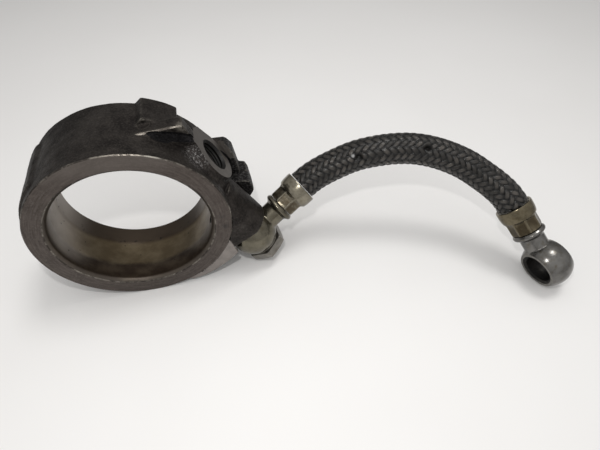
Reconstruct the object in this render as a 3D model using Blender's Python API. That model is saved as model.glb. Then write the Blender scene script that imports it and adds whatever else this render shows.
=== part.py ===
"""Oil feed ring: a cast ring with a side arm, and a braided feed hose held on it by a banjo bolt.

Units are metres, +Z is up, and the ring stands on its rim with its bore along Y.
Everything is first built in the ring's own frame: the origin is on the bore axis in the
near face, +Y runs into the bore.  At the end the whole part is moved so that the origin
lies under the middle of the rigid pieces, on the table.
"""
import math

import bmesh
import bpy
from mathutils import Matrix, Vector

for item in list(bpy.data.objects):
    bpy.data.objects.remove(item, do_unlink=True)

# Ring body
RING_OUTER_RADIUS = 0.0375
RING_WIDTH = 0.0303
RIM_EDGE = 0.0004
TRIM = 0.0010
MERGE_DISTANCE = 0.000001
BORE_RADIUS = 0.0295
BORE_MOUTH_RADIUS = 0.0309
BORE_MOUTH_DEPTH = 0.0014
GROOVE_DEPTH = 0.0004
GROOVE_START = 0.0088
GROOVE_END = 0.0210
RING_SEGMENTS = 96

# Arm: everything on it is placed along two directions square to the bore axis.
# "out" points away from the bore at ARM_TILT above level, "down" follows the bolt.
ARM_TILT = math.radians(32.0)
ARM_BACK = 0.0090
CAST_SETBACK = 0.0006

# Banjo bolt and its boss
BOLT_OUT = 0.0273
BOLT_DEPTH = 0.0100
SEAT_DOWN = 0.0353
BOSS_RADIUS = 0.0110
SPOTFACE_RADIUS = 0.0113
SPOTFACE_REACH = 0.0150
BOLT_SHANK_RADIUS = 0.0057
BOLT_HOLE_CLEARANCE = 0.00035
BOLT_HOLE_LENGTH = 0.0112
BOLT_ENGAGEMENT = 0.0100
BOLT_HEAD_FLATS = 0.0160
BOLT_HEAD_HEIGHT = 0.0042
BOLT_HEAD_EDGE = 0.0008
BOLT_HEAD_TURN = math.radians(24.0)
BOLT_FEED_RADIUS = 0.0022
BOLT_CROSS_RADIUS = 0.0016

# Feed drilling from the bolt hole into the bore
FEED_RADIUS = 0.0026
FEED_ANGLE = math.radians(-13.0)
FEED_DEPTH = 0.0098
FEED_FROM = 0.0250
FEED_TO = 0.0365

# Tapped port beside the arm
PORT_FACE_OUT = 0.0400
PORT_DOWN = 0.0020
PORT_DEPTH = 0.0155
PORT_LAND_RADIUS = 0.0098
PORT_BASE_RADIUS = 0.0135
PORT_BASE_DROP = 0.0075
PORT_HOLE_RADIUS = 0.0060
PORT_CHAMFER = 0.0006
PORT_HOLE_LENGTH = 0.0076
PORT_HOLE_TIP = 0.0012
PORT_ARC_FROM = math.radians(-140.0)
PORT_ARC_TO = math.radians(116.0)
PORT_ARC_STEPS = 36
PORT_SPOT_RADIUS = 0.0108

# Cast pads and lugs on the ring's outer wall
WALL_MIDDLE = 0.0335
PAD_FRONT = 0.0160
WEDGE_FRONT = 0.0115
WEDGE_BACK = 0.0170
SIDE_LAND_FRONT = 0.0045
SIDE_LAND_BACK = 0.0270
UPPER_LUG_FRONT = 0.0225
LOWER_LUG_FRONT = 0.0240
LUG_PAD_FRONT = 0.0180
LUG_PAD_BACK = 0.0260
WEB_BACK = 0.0185

# Raised lands round the ring's wall, as (degrees from level, radius)
PAD_RIM = [(51.0, WALL_MIDDLE), (53.5, 0.0403), (72.5, 0.0403), (75.0, WALL_MIDDLE)]
SIDE_LAND_RIM = [(132.0, 0.0370), (138.0, 0.0384), (150.0, 0.0384), (162.0, 0.0384),
                 (172.0, 0.0379), (184.0, 0.0368)]
RIM_STEP = 2.5

# Outlines seen along the bore axis, as (x, z) from the bore axis
WEDGE = [(0.0000, WALL_MIDDLE), (0.0100, 0.0357), (0.0257, 0.0370), (0.0286, 0.0297),
         (0.0257, 0.0220)]
UPPER_LUG = [(0.0330, 0.0163), (0.0395, 0.0161), (0.0406, 0.0153), (0.0424, 0.0127),
             (0.0430, 0.0091), (0.0442, 0.0023), (0.0400, -0.0040), (0.0330, 0.0050)]
LOWER_LUG = [(0.0380, 0.0050), (0.0454, 0.0020), (0.0468, 0.0017), (0.0479, -0.0006),
             (0.0492, -0.0084), (0.0492, -0.0100), (0.0486, -0.0115), (0.0474, -0.0134),
             (0.0473, -0.0148), (0.0400, -0.0170), (0.0340, -0.0150)]
LUG_PAD = [(0.0385, 0.0022), (0.0450, 0.0015), (0.0470, 0.0008), (0.0484, -0.0020),
           (0.0485, -0.0040), (0.0473, -0.0060), (0.0465, -0.0084), (0.0390, -0.0090)]
# The port land's corners beyond its round part, as (down, depth) from the port's axis
PORT_TAB = [(-0.0112, -0.0035), (-0.0122, -0.0011), (-0.0116, 0.0041), (-0.0090, 0.0082)]
# Outlines along the arm, as (out, down)
ARM_BODY = [(0.0200, 0.0020), (0.0310, 0.0030), (0.0325, 0.0120), (0.0300, 0.0367),
            (0.0215, 0.0367), (0.0150, 0.0280)]
WEB_BODY = [(-0.0085, 0.0360), (-0.0040, 0.0397), (0.0010, 0.0412), (0.0060, 0.0416),
            (0.0140, 0.0410), (0.0200, 0.0392), (0.0225, 0.0340), (0.0160, 0.0280),
            (0.0000, 0.0320)]

# Banjo fitting, one design for both ends
EYE_RADIUS = 0.0102
EYE_HALF_WIDTH = 0.0060
EYE_HOLE_RADIUS = 0.00605
EYE_CHAMFER = 0.0006
EYE_SEGMENTS = 48
EYE_ARC_STEPS = 12
HOLE_SEGMENTS = 40
DRILL_SEGMENTS = 16
NECK_RADIUS = 0.0052
NECK_START = 0.0070
NECK_END = 0.0143
COLLAR_RADIUS = 0.0067
COLLAR_END = 0.0169
COLLAR_EDGE = 0.0005
STEM_RADIUS = 0.0030
PASSAGE_RADIUS = 0.0018

# Crimped ferrule
SEATED_GAP = 0.0003
CRIMP_FLATS = 8
CRIMP_RADIUS = 0.0064
CRIMP_FLAT_RADIUS = 0.0060
CRIMP_END = 0.0228
BELL_BACK_RADIUS = 0.0072
BELL_RADIUS = 0.00775
MOUTH = 0.0293
MOUTH_EDGE = 0.0005
FERRULE_SEGMENTS = 48

# Sealing washers
WASHER_THICKNESS = 0.0008
WASHER_RADIUS = 0.0079

# Fitting directions: ring end turned about the bolt, free end as it lies on the table
RING_NECK_TURN = math.radians(16.3)
FREE_EYE_PLACE = Vector((0.1674, -0.0316, -RING_OUTER_RADIUS + EYE_RADIUS))
FREE_NECK = Vector((-0.4036, 0.6665, 0.6268)).normalized()
FREE_EYE_AXIS = Vector((-0.9148, -0.3065, -0.2632))

# Hose: chosen points of its centre line between the two ferrules
HOSE_RADIUS = 0.0067
HOSE_POINTS = 24
HOSE_LEAD = 0.0015
HOSE_ROUTE = [Vector(point) for point in (
    (0.0884, 0.0203, 0.0022),
    (0.1020, 0.0181, 0.0068),
    (0.1171, 0.0149, 0.0080),
    (0.1307, 0.0096, 0.0058),
    (0.1430, 0.0020, 0.0008),
)]


def arm_point(out, depth, down):
    """A point given along the arm, in the ring's frame."""
    return Vector((out * math.cos(ARM_TILT) + down * math.sin(ARM_TILT), depth,
                   out * math.sin(ARM_TILT) - down * math.cos(ARM_TILT)))


OUT = arm_point(1, 0, 0)
DOWN = arm_point(0, 0, 1)
DEPTH = Vector((0, 1, 0))


def frame_at(origin, along, across):
    """A frame whose Z runs along the first direction and X lies towards the second."""
    z_axis = along.normalized()
    x_axis = (across - across.dot(z_axis) * z_axis).normalized()
    y_axis = z_axis.cross(x_axis)
    turn = Matrix((x_axis, y_axis, z_axis)).transposed().to_4x4()
    return Matrix.Translation(origin) @ turn


def add_object(name, body):
    """Closes a bmesh into a named object with outward faces."""
    bmesh.ops.remove_doubles(body, verts=body.verts, dist=MERGE_DISTANCE)
    bmesh.ops.recalc_face_normals(body, faces=body.faces)
    mesh = bpy.data.meshes.new(name)
    body.to_mesh(mesh)
    body.free()
    thing = bpy.data.objects.new(name, mesh)
    bpy.context.scene.collection.objects.link(thing)
    return thing


def turned(name, outline, frame, segments=EYE_SEGMENTS):
    """Turns a closed outline of (radius, height) points about the frame's Z axis."""
    body = bmesh.new()
    points = [body.verts.new((radius, 0, height)) for radius, height in outline]
    edges = [body.edges.new((points[i - 1], points[i])) for i in range(len(points))
             if points[i - 1].co.x + points[i].co.x > MERGE_DISTANCE]
    bmesh.ops.spin(body, geom=points + edges, cent=(0, 0, 0), axis=(0, 0, 1),
                   angle=math.tau, steps=segments)
    thing = add_object(name, body)
    thing.data.transform(frame)
    return thing


def plate(name, outline, low, high, frame):
    """Extrudes an (x, y) outline of the frame along its Z axis."""
    body = bmesh.new()
    face = body.faces.new([body.verts.new((x, y, low)) for x, y in outline])
    grown = bmesh.ops.extrude_face_region(body, geom=[face])
    moved = [item for item in grown["geom"] if isinstance(item, bmesh.types.BMVert)]
    bmesh.ops.translate(body, verts=moved, vec=(0, 0, high - low))
    thing = add_object(name, body)
    thing.data.transform(frame)
    return thing


def slab(name, outline, front, back):
    """Extrudes an (x, z) outline along the bore axis."""
    flipped = [(x, -z) for x, z in outline]
    return plate(name, flipped, front, back, frame_at(Vector(), DEPTH, Vector((1, 0, 0))))


def arm_slab(name, outline, front, back):
    """Extrudes an (out, down) outline of the arm along the bore axis."""
    points = [arm_point(out, 0, down) for out, down in outline]
    return slab(name, [(point.x, point.z) for point in points], front, back)


def land(name, rim, front, back):
    """A raised land on the ring's wall, whose height changes along (degrees, radius) points."""
    polar = [(rim[-1][0], WALL_MIDDLE), (rim[0][0], WALL_MIDDLE), rim[0]]
    for (angle, radius), (next_angle, next_radius) in zip(rim, rim[1:]):
        steps = math.ceil((next_angle - angle) / RIM_STEP)
        polar += [(angle + (next_angle - angle) * i / steps,
                   radius + (next_radius - radius) * i / steps) for i in range(1, steps + 1)]
    outline = []
    for angle, radius in polar:
        turn = math.radians(angle)
        point = (radius * math.cos(turn), radius * math.sin(turn))
        if point not in outline:
            outline.append(point)
    return slab(name, outline, front, back)


def split_faces(thing):
    """Splits many sided faces into triangles, which booleans cut more cleanly."""
    body = bmesh.new()
    body.from_mesh(thing.data)
    bmesh.ops.remove_doubles(body, verts=body.verts, dist=MERGE_DISTANCE)
    bmesh.ops.dissolve_degenerate(body, edges=body.edges, dist=MERGE_DISTANCE)
    bmesh.ops.triangulate(body, faces=body.faces)
    body.to_mesh(thing.data)
    body.free()


def combine(target, tool, operation):
    """Applies one boolean and removes the tool."""
    split_faces(target)
    split_faces(tool)
    step = target.modifiers.new(operation.lower(), "BOOLEAN")
    step.operation = operation
    step.object = tool
    step.solver = "EXACT"
    bpy.context.view_layer.objects.active = target
    with bpy.context.temp_override(object=target, active_object=target):
        bpy.ops.object.modifier_apply(modifier=step.name)
    bpy.data.objects.remove(tool, do_unlink=True)


def paint(thing, colour, roughness, metallic):
    """Gives an object its own plain material."""
    material = bpy.data.materials.new(thing.name)
    material.use_nodes = True
    shader = material.node_tree.nodes["Principled BSDF"]
    shader.inputs["Base Color"].default_value = (*colour, 1)
    shader.inputs["Roughness"].default_value = roughness
    shader.inputs["Metallic"].default_value = metallic
    thing.data.materials.append(material)


def eye_outline():
    """Half section of the ball shaped eye, chamfered at both ends of its hole."""
    face_angle = math.asin(EYE_HALF_WIDTH / EYE_RADIUS)
    arc = [face_angle - 2 * face_angle * i / EYE_ARC_STEPS for i in range(EYE_ARC_STEPS + 1)]
    hole = [(EYE_HOLE_RADIUS + EYE_CHAMFER, -EYE_HALF_WIDTH),
            (EYE_HOLE_RADIUS, -EYE_HALF_WIDTH + EYE_CHAMFER),
            (EYE_HOLE_RADIUS, EYE_HALF_WIDTH - EYE_CHAMFER),
            (EYE_HOLE_RADIUS + EYE_CHAMFER, EYE_HALF_WIDTH)]
    return hole + [(EYE_RADIUS * math.cos(a), EYE_RADIUS * math.sin(a)) for a in arc]


def add_banjo(name, centre, eye_axis, neck):
    """Ball eye, neck, collar and hose stem as one turned and drilled solid."""
    banjo = turned(name, eye_outline(), frame_at(centre, eye_axis, neck))
    along = frame_at(centre, neck, eye_axis)
    stem_end = MOUTH - MOUTH_EDGE
    neck_outline = [(0, NECK_START), (NECK_RADIUS, NECK_START), (NECK_RADIUS, NECK_END),
                    (COLLAR_RADIUS - COLLAR_EDGE, NECK_END),
                    (COLLAR_RADIUS, NECK_END + COLLAR_EDGE),
                    (COLLAR_RADIUS, COLLAR_END - COLLAR_EDGE),
                    (COLLAR_RADIUS - COLLAR_EDGE, COLLAR_END),
                    (STEM_RADIUS, COLLAR_END), (STEM_RADIUS, stem_end), (0, stem_end)]
    combine(banjo, turned("neck", neck_outline, along), "UNION")
    passage = [(0, 0), (PASSAGE_RADIUS, 0), (PASSAGE_RADIUS, MOUTH), (0, MOUTH)]
    combine(banjo, turned("passage", passage, along, segments=DRILL_SEGMENTS), "DIFFERENCE")
    paint(banjo, (0.30, 0.29, 0.27), 0.32, 1.0)
    return banjo


def crimp_radius(angle, flat_radius, round_radius):
    """Radius of the crimped section: flats with rounded corners left between them."""
    pitch = math.tau / CRIMP_FLATS
    turn = (angle + pitch / 2) % pitch - pitch / 2
    return min(round_radius, flat_radius / math.cos(turn))


def add_ferrule(name, centre, neck, eye_axis):
    """Sleeve pressed into flats behind the collar, opening into a bell over the hose."""
    bore = STEM_RADIUS + SEATED_GAP
    start = COLLAR_END + SEATED_GAP
    stations = [(start, bore, bore), (start, CRIMP_FLAT_RADIUS, CRIMP_RADIUS),
                (CRIMP_END, CRIMP_FLAT_RADIUS, CRIMP_RADIUS),
                (CRIMP_END + MOUTH_EDGE, BELL_BACK_RADIUS, BELL_BACK_RADIUS),
                (MOUTH - 2 * MOUTH_EDGE, BELL_RADIUS, BELL_RADIUS),
                (MOUTH, BELL_RADIUS, BELL_RADIUS), (MOUTH, bore, bore)]
    body = bmesh.new()
    rings = []
    for height, flat_radius, round_radius in stations:
        ring = []
        for i in range(FERRULE_SEGMENTS):
            angle = math.tau * i / FERRULE_SEGMENTS
            radius = crimp_radius(angle, flat_radius, round_radius)
            if flat_radius == round_radius:
                radius = round_radius
            place = (radius * math.cos(angle), radius * math.sin(angle), height)
            ring.append(body.verts.new(place))
        rings.append(ring)
    for i in range(len(rings)):
        first, second = rings[i - 1], rings[i]
        for j in range(FERRULE_SEGMENTS):
            body.faces.new((first[j - 1], first[j], second[j], second[j - 1]))
    ferrule = add_object(name, body)
    ferrule.data.transform(frame_at(centre, neck, eye_axis))
    paint(ferrule, (0.34, 0.33, 0.30), 0.30, 1.0)
    return ferrule


def add_washer(name, centre, axis):
    """Flat sealing washer round the bolt shank."""
    inner = BOLT_SHANK_RADIUS + BOLT_HOLE_CLEARANCE
    half = WASHER_THICKNESS / 2
    outline = [(inner, -half), (WASHER_RADIUS, -half), (WASHER_RADIUS, half), (inner, half)]
    washer = turned(name, outline, frame_at(centre, axis, OUT))
    paint(washer, (0.45, 0.30, 0.20), 0.40, 1.0)
    return washer


def port_outline():
    """The port's machined land: round below, with a wide tab towards the wedge."""
    angles = [PORT_ARC_TO + (PORT_ARC_FROM - PORT_ARC_TO) * i / PORT_ARC_STEPS
              for i in range(PORT_ARC_STEPS + 1)]
    arc = [(PORT_LAND_RADIUS * math.cos(a), PORT_LAND_RADIUS * math.sin(a)) for a in angles]
    return arc + PORT_TAB


def add_casting():
    """Ring, arm, port, pads and lugs cast in one piece, then machined."""
    raw_back = RING_WIDTH + TRIM
    body = turned("ring_casting",
                  [(0, 0), (RING_OUTER_RADIUS - RIM_EDGE, 0), (RING_OUTER_RADIUS, RIM_EDGE),
                   (RING_OUTER_RADIUS, raw_back), (0, raw_back)],
                  frame_at(Vector(), DEPTH, OUT), segments=RING_SEGMENTS)
    bolt = frame_at(arm_point(BOLT_OUT, BOLT_DEPTH, 0), DOWN, OUT)
    port = frame_at(arm_point(0, PORT_DEPTH, PORT_DOWN), OUT, DOWN)

    raw_seat = SEAT_DOWN + TRIM
    boss = turned("boss", [(0, 0), (BOSS_RADIUS, 0), (BOSS_RADIUS, raw_seat), (0, raw_seat)],
                  bolt)
    combine(boss, arm_slab("arm", ARM_BODY, -3 * TRIM, BOLT_DEPTH + ARM_BACK), "UNION")
    combine(boss, arm_slab("web", WEB_BODY, -2 * TRIM, WEB_BACK), "UNION")
    span = 2 * RING_OUTER_RADIUS
    square = [(-span, -span), (span, -span), (span, span), (-span, span)]
    combine(boss, slab("front", square, -span, CAST_SETBACK), "DIFFERENCE")
    combine(body, boss, "UNION")

    combine(body, plate("port", port_outline(), WALL_MIDDLE, PORT_FACE_OUT, port), "UNION")
    foot = WALL_MIDDLE - TRIM
    base = PORT_FACE_OUT - PORT_BASE_DROP
    skirt = [(0, foot), (PORT_BASE_RADIUS, foot), (PORT_BASE_RADIUS, base),
             (PORT_LAND_RADIUS + RIM_EDGE, PORT_FACE_OUT - TRIM), (0, PORT_FACE_OUT - TRIM)]
    combine(body, turned("skirt", skirt, port), "UNION")

    for extra in (slab("wedge", WEDGE, WEDGE_FRONT, WEDGE_BACK),
                  land("pad", PAD_RIM, PAD_FRONT, raw_back),
                  land("side_land", SIDE_LAND_RIM, SIDE_LAND_FRONT, SIDE_LAND_BACK),
                  slab("upper_lug", UPPER_LUG, UPPER_LUG_FRONT, raw_back),
                  slab("lower_lug", LOWER_LUG, LOWER_LUG_FRONT, raw_back),
                  slab("lug_pad", LUG_PAD, LUG_PAD_FRONT, LUG_PAD_BACK)):
        combine(body, extra, "UNION")
    combine(body, slab("back", square, RING_WIDTH, span), "DIFFERENCE")
    spot = [(0, PORT_FACE_OUT + SEATED_GAP), (PORT_SPOT_RADIUS, PORT_FACE_OUT + SEATED_GAP),
            (PORT_SPOT_RADIUS, PORT_FACE_OUT + span), (0, PORT_FACE_OUT + span)]
    combine(body, turned("port_spot", spot, port), "DIFFERENCE")

    groove = BORE_RADIUS + GROOVE_DEPTH
    mouth_slope = (BORE_MOUTH_RADIUS - BORE_RADIUS) / BORE_MOUTH_DEPTH
    bore = [(0, -TRIM), (BORE_MOUTH_RADIUS + TRIM * mouth_slope, -TRIM),
            (BORE_RADIUS, BORE_MOUTH_DEPTH),
            (BORE_RADIUS, GROOVE_START), (groove, GROOVE_START + GROOVE_DEPTH),
            (groove, GROOVE_END - GROOVE_DEPTH), (BORE_RADIUS, GROOVE_END),
            (BORE_RADIUS, raw_back), (0, raw_back)]
    bore_frame = frame_at(Vector(), DEPTH, OUT)
    combine(body, turned("bore", bore, bore_frame, segments=RING_SEGMENTS), "DIFFERENCE")

    spot_end = SEAT_DOWN + SPOTFACE_REACH
    spot = [(0, SEAT_DOWN), (SPOTFACE_RADIUS, SEAT_DOWN), (SPOTFACE_RADIUS, spot_end),
            (0, spot_end)]
    combine(body, turned("spotface", spot, bolt), "DIFFERENCE")
    hole = BOLT_SHANK_RADIUS + BOLT_HOLE_CLEARANCE
    bolt_hole = [(0, SEAT_DOWN - BOLT_HOLE_LENGTH), (hole, SEAT_DOWN - BOLT_HOLE_LENGTH),
                 (hole, spot_end), (0, spot_end)]
    combine(body, turned("bolt_hole", bolt_hole, bolt, segments=HOLE_SEGMENTS), "DIFFERENCE")
    feed_way = Vector((math.cos(FEED_ANGLE), 0, math.sin(FEED_ANGLE)))
    feed = frame_at(DEPTH * FEED_DEPTH, feed_way, DEPTH)
    drilling = [(0, FEED_FROM), (FEED_RADIUS, FEED_FROM), (FEED_RADIUS, FEED_TO), (0, FEED_TO)]
    combine(body, turned("feed", drilling, feed, segments=DRILL_SEGMENTS), "DIFFERENCE")
    rim = PORT_HOLE_RADIUS + PORT_CHAMFER
    floor = PORT_FACE_OUT - PORT_HOLE_LENGTH
    port_hole = [(0, floor - PORT_HOLE_TIP), (PORT_HOLE_RADIUS, floor),
                 (PORT_HOLE_RADIUS, PORT_FACE_OUT - PORT_CHAMFER), (rim, PORT_FACE_OUT),
                 (rim, PORT_FACE_OUT + rim), (0, PORT_FACE_OUT + rim)]
    combine(body, turned("port_hole", port_hole, port, segments=HOLE_SEGMENTS), "DIFFERENCE")
    paint(body, (0.035, 0.033, 0.032), 0.55, 0.7)
    return body


def add_bolt(head_down):
    """Hexagon banjo bolt, hollow from its tip and cross drilled inside the eye."""
    frame = frame_at(arm_point(BOLT_OUT, BOLT_DEPTH, 0), DOWN, OUT)
    corner = BOLT_HEAD_FLATS / 2 / math.cos(math.pi / 6)
    top = head_down + BOLT_HEAD_HEIGHT
    tip = SEAT_DOWN - BOLT_ENGAGEMENT
    cone = [(0, head_down), (corner, head_down), (corner, top - BOLT_HEAD_EDGE / 2),
            (BOLT_HEAD_FLATS / 2 - BOLT_HEAD_EDGE / 2, top), (0, top)]
    bolt = turned("banjo_bolt", cone, frame)
    hexagon = [(corner * math.cos(BOLT_HEAD_TURN + math.tau * i / 6),
                corner * math.sin(BOLT_HEAD_TURN + math.tau * i / 6)) for i in range(6)]
    combine(bolt, plate("flats", hexagon, tip, top + BOLT_HEAD_EDGE, frame), "INTERSECT")
    edge = BOLT_HEAD_EDGE / 2
    shank = [(0, tip), (BOLT_SHANK_RADIUS - edge, tip), (BOLT_SHANK_RADIUS, tip + edge),
             (BOLT_SHANK_RADIUS, head_down + edge), (0, head_down + edge)]
    combine(bolt, turned("shank", shank, frame, segments=HOLE_SEGMENTS), "UNION")
    eye = head_down - WASHER_THICKNESS - EYE_HALF_WIDTH - 2 * SEATED_GAP
    feed = [(0, tip - edge), (BOLT_FEED_RADIUS, tip - edge), (BOLT_FEED_RADIUS, eye), (0, eye)]
    combine(bolt, turned("bolt_feed", feed, frame, segments=DRILL_SEGMENTS), "DIFFERENCE")
    cross_down = eye - 2 * BOLT_CROSS_RADIUS
    cross_frame = frame_at(arm_point(BOLT_OUT, BOLT_DEPTH, cross_down), DEPTH, OUT)
    reach = BOLT_SHANK_RADIUS + edge
    cross = [(0, -reach), (BOLT_CROSS_RADIUS, -reach), (BOLT_CROSS_RADIUS, reach), (0, reach)]
    combine(bolt, turned("cross", cross, cross_frame, segments=DRILL_SEGMENTS), "DIFFERENCE")
    paint(bolt, (0.20, 0.19, 0.17), 0.42, 1.0)
    return bolt


def smooth_route(points, first_way, last_way):
    """Reads evenly numbered points from a smooth curve through the chosen ones."""
    ways = []
    for i in range(len(points)):
        if i == 0:
            way = first_way * (points[1] - points[0]).length
        elif i == len(points) - 1:
            way = last_way * (points[-1] - points[-2]).length
        else:
            way = (points[i + 1] - points[i - 1]) / 2
        ways.append(way)
    route = [points[0] - first_way * HOSE_LEAD]
    spans = len(points) - 1
    for step in range(HOSE_POINTS):
        place = step * spans / (HOSE_POINTS - 1)
        i = min(int(place), spans - 1)
        t = place - i
        route.append(points[i] * (2 * t**3 - 3 * t**2 + 1) + ways[i] * (t**3 - 2 * t**2 + t)
                     + points[i + 1] * (3 * t**2 - 2 * t**3) + ways[i + 1] * (t**3 - t**2))
    return route + [points[-1] + last_way * HOSE_LEAD]


def add_hose(start, start_way, end, end_way):
    """Free hanging braided hose between the two ferrule mouths."""
    first = start + start_way * HOSE_LEAD
    last = end - end_way * HOSE_LEAD
    route = smooth_route([first] + HOSE_ROUTE + [last], start_way, end_way)
    curve = bpy.data.curves.new("braided_hose", "CURVE")
    curve.dimensions = "3D"
    curve.bevel_depth = HOSE_RADIUS
    curve.bevel_resolution = 4
    curve.use_fill_caps = True
    spline = curve.splines.new("POLY")
    spline.points.add(len(route) - 1)
    for point, place in zip(spline.points, route):
        point.co = (*place, 1)
    hose = bpy.data.objects.new("braided_hose", curve)
    bpy.context.scene.collection.objects.link(hose)
    paint(hose, (0.02, 0.02, 0.02), 0.8, 0.0)
    return hose


eye_down = SEAT_DOWN + 2 * SEATED_GAP + WASHER_THICKNESS + EYE_HALF_WIDTH
head_down = eye_down + EYE_HALF_WIDTH + 2 * SEATED_GAP + WASHER_THICKNESS
inner_washer_down = SEAT_DOWN + SEATED_GAP + WASHER_THICKNESS / 2
outer_washer_down = head_down - SEATED_GAP - WASHER_THICKNESS / 2
ring_eye_place = arm_point(BOLT_OUT, BOLT_DEPTH, eye_down)
ring_neck = OUT * math.cos(RING_NECK_TURN) + DEPTH * math.sin(RING_NECK_TURN)

rigid = [
    add_casting(),
    add_bolt(head_down),
    add_washer("inner_sealing_washer", arm_point(BOLT_OUT, BOLT_DEPTH, inner_washer_down), DOWN),
    add_washer("outer_sealing_washer", arm_point(BOLT_OUT, BOLT_DEPTH, outer_washer_down), DOWN),
    add_banjo("ring_end_banjo", ring_eye_place, DOWN, ring_neck),
    add_ferrule("ring_end_ferrule", ring_eye_place, ring_neck, DOWN),
]
hose_reach = MOUTH + SEATED_GAP
loose = [
    add_hose(ring_eye_place + ring_neck * hose_reach, ring_neck,
             FREE_EYE_PLACE + FREE_NECK * hose_reach, -FREE_NECK),
    add_ferrule("free_end_ferrule", FREE_EYE_PLACE, FREE_NECK, FREE_EYE_AXIS),
    add_banjo("free_end_banjo", FREE_EYE_PLACE, FREE_EYE_AXIS, FREE_NECK),
]

# Move everything so that the origin lies on the table under the middle of the rigid pieces
corners = [vertex.co for thing in rigid for vertex in thing.data.vertices]
low = Vector([min(corner[axis] for corner in corners) for axis in range(3)])
high = Vector([max(corner[axis] for corner in corners) for axis in range(3)])
middle = Vector(((low.x + high.x) / 2, (low.y + high.y) / 2, low.z))
for thing in rigid + loose:
    thing.data.transform(Matrix.Translation(-middle))
print("moved by", [round(-value, 5) for value in middle])
print("rigid box", [round(value, 5) for value in high - low])
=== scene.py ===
import math

import bpy
import numpy as np
from mathutils import Matrix, Vector


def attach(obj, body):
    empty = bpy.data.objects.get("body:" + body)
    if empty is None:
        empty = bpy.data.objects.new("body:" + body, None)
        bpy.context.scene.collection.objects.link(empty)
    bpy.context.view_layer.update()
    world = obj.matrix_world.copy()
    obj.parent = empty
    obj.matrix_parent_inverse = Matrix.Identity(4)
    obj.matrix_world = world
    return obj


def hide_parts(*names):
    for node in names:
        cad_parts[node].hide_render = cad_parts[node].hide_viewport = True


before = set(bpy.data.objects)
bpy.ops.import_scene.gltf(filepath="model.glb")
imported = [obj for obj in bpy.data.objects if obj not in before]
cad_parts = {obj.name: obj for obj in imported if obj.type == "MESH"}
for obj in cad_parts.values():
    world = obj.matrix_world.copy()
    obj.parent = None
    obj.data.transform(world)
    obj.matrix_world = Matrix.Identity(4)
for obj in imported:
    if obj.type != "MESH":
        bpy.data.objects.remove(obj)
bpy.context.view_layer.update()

# %% [markdown]
# ## The camera
# The picture was taken from above and to the left of the part with a wide phone lens.
# The camera was worked out from the ring's own circles: the rim, the bore and the groove
# edges are circles of known proportion, so the way they flatten gives the direction and
# distance.  A longer lens from further back would make the far banjo too large against
# the ring, so the 27.6 mm lens belongs to the likeness as much as the position does.

# %% Camera at the photograph's view
RIG = Vector((-0.0183, -0.01505, 0.03748))
forward = Vector((0.15066, 0.65202, -0.74309))
bpy.ops.object.camera_add(location=Vector((0.035745, -0.125841, 0.131916)) + RIG)
camera = bpy.context.object
camera.name = "photo_camera"
camera.data.lens = 27.6
camera.data.sensor_width = 36.0
camera.data.clip_start = 0.01
camera.data.clip_end = 20.0
camera.rotation_euler = forward.to_track_quat("-Z", "Y").to_euler()
bpy.context.scene.camera = camera
print("camera", tuple(round(value, 4) for value in camera.location))

# %% [markdown]
# ## Directions and places
# All measurements were taken in the ring's own frame: the origin on the bore axis in the
# near face, Y into the bore.  The arm leans, so anything on it is placed by how far "out"
# from the bore axis it lies and how far "down" along the bolt.  Each finished piece is
# moved once, by RIG, from the ring's frame onto the table.

# %% Frames
ARM_TILT = math.radians(32.0)
BORE_RADIUS = 0.0295
RING_RADIUS = 0.0375
RING_WIDTH = 0.0303
BOLT_OUT = 0.0273
BOLT_DEPTH = 0.010
SEAT_DOWN = 0.0353
PORT_OUT = 0.040
PORT_DEPTH = 0.0155
PORT_DOWN = 0.002
EYE_RADIUS = 0.0102
EYE_HALF = 0.006
HOLE_RADIUS = 0.00605
SEATED_GAP = 0.0003
WASHER = 0.0008
COLLAR_END = 0.0169
MOUTH = 0.0293
HOSE_RADIUS = 0.0067
PASSAGE = 0.0018


def arm_point(out, depth, down):
    """A point given along the arm, in the ring's frame."""
    return Vector((out * math.cos(ARM_TILT) + down * math.sin(ARM_TILT), depth,
                   out * math.sin(ARM_TILT) - down * math.cos(ARM_TILT)))


OUT = arm_point(1, 0, 0)
DOWN = arm_point(0, 0, 1)
DEPTH = Vector((0, 1, 0))


def frame_at(origin, along, across):
    """A frame whose Z runs along the first direction and X lies towards the second."""
    z_axis = along.normalized()
    x_axis = (across - across.dot(z_axis) * z_axis).normalized()
    turn = Matrix((x_axis, z_axis.cross(x_axis), z_axis)).transposed().to_4x4()
    return Matrix.Translation(origin) @ turn


BORE_FRAME = frame_at(Vector(), DEPTH, OUT)
BOLT_FRAME = frame_at(arm_point(BOLT_OUT, BOLT_DEPTH, 0), DOWN, OUT)
PORT_FRAME = frame_at(arm_point(0, PORT_DEPTH, PORT_DOWN), OUT, DOWN)
EYE_DOWN = SEAT_DOWN + 2 * SEATED_GAP + WASHER + EYE_HALF
RING_EYE = arm_point(BOLT_OUT, BOLT_DEPTH, EYE_DOWN)
NECK_TURN = math.radians(16.3)
RING_NECK = OUT * math.cos(NECK_TURN) + DEPTH * math.sin(NECK_TURN)
FREE_EYE = Vector((0.1674, -0.0316, EYE_RADIUS - RING_RADIUS))
FREE_NECK = Vector((-0.4036, 0.6665, 0.6268)).normalized()
FREE_AXIS = Vector((-0.9148, -0.3065, -0.2632)).normalized()
print("ring eye", RING_EYE, "free eye", FREE_EYE)
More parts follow.
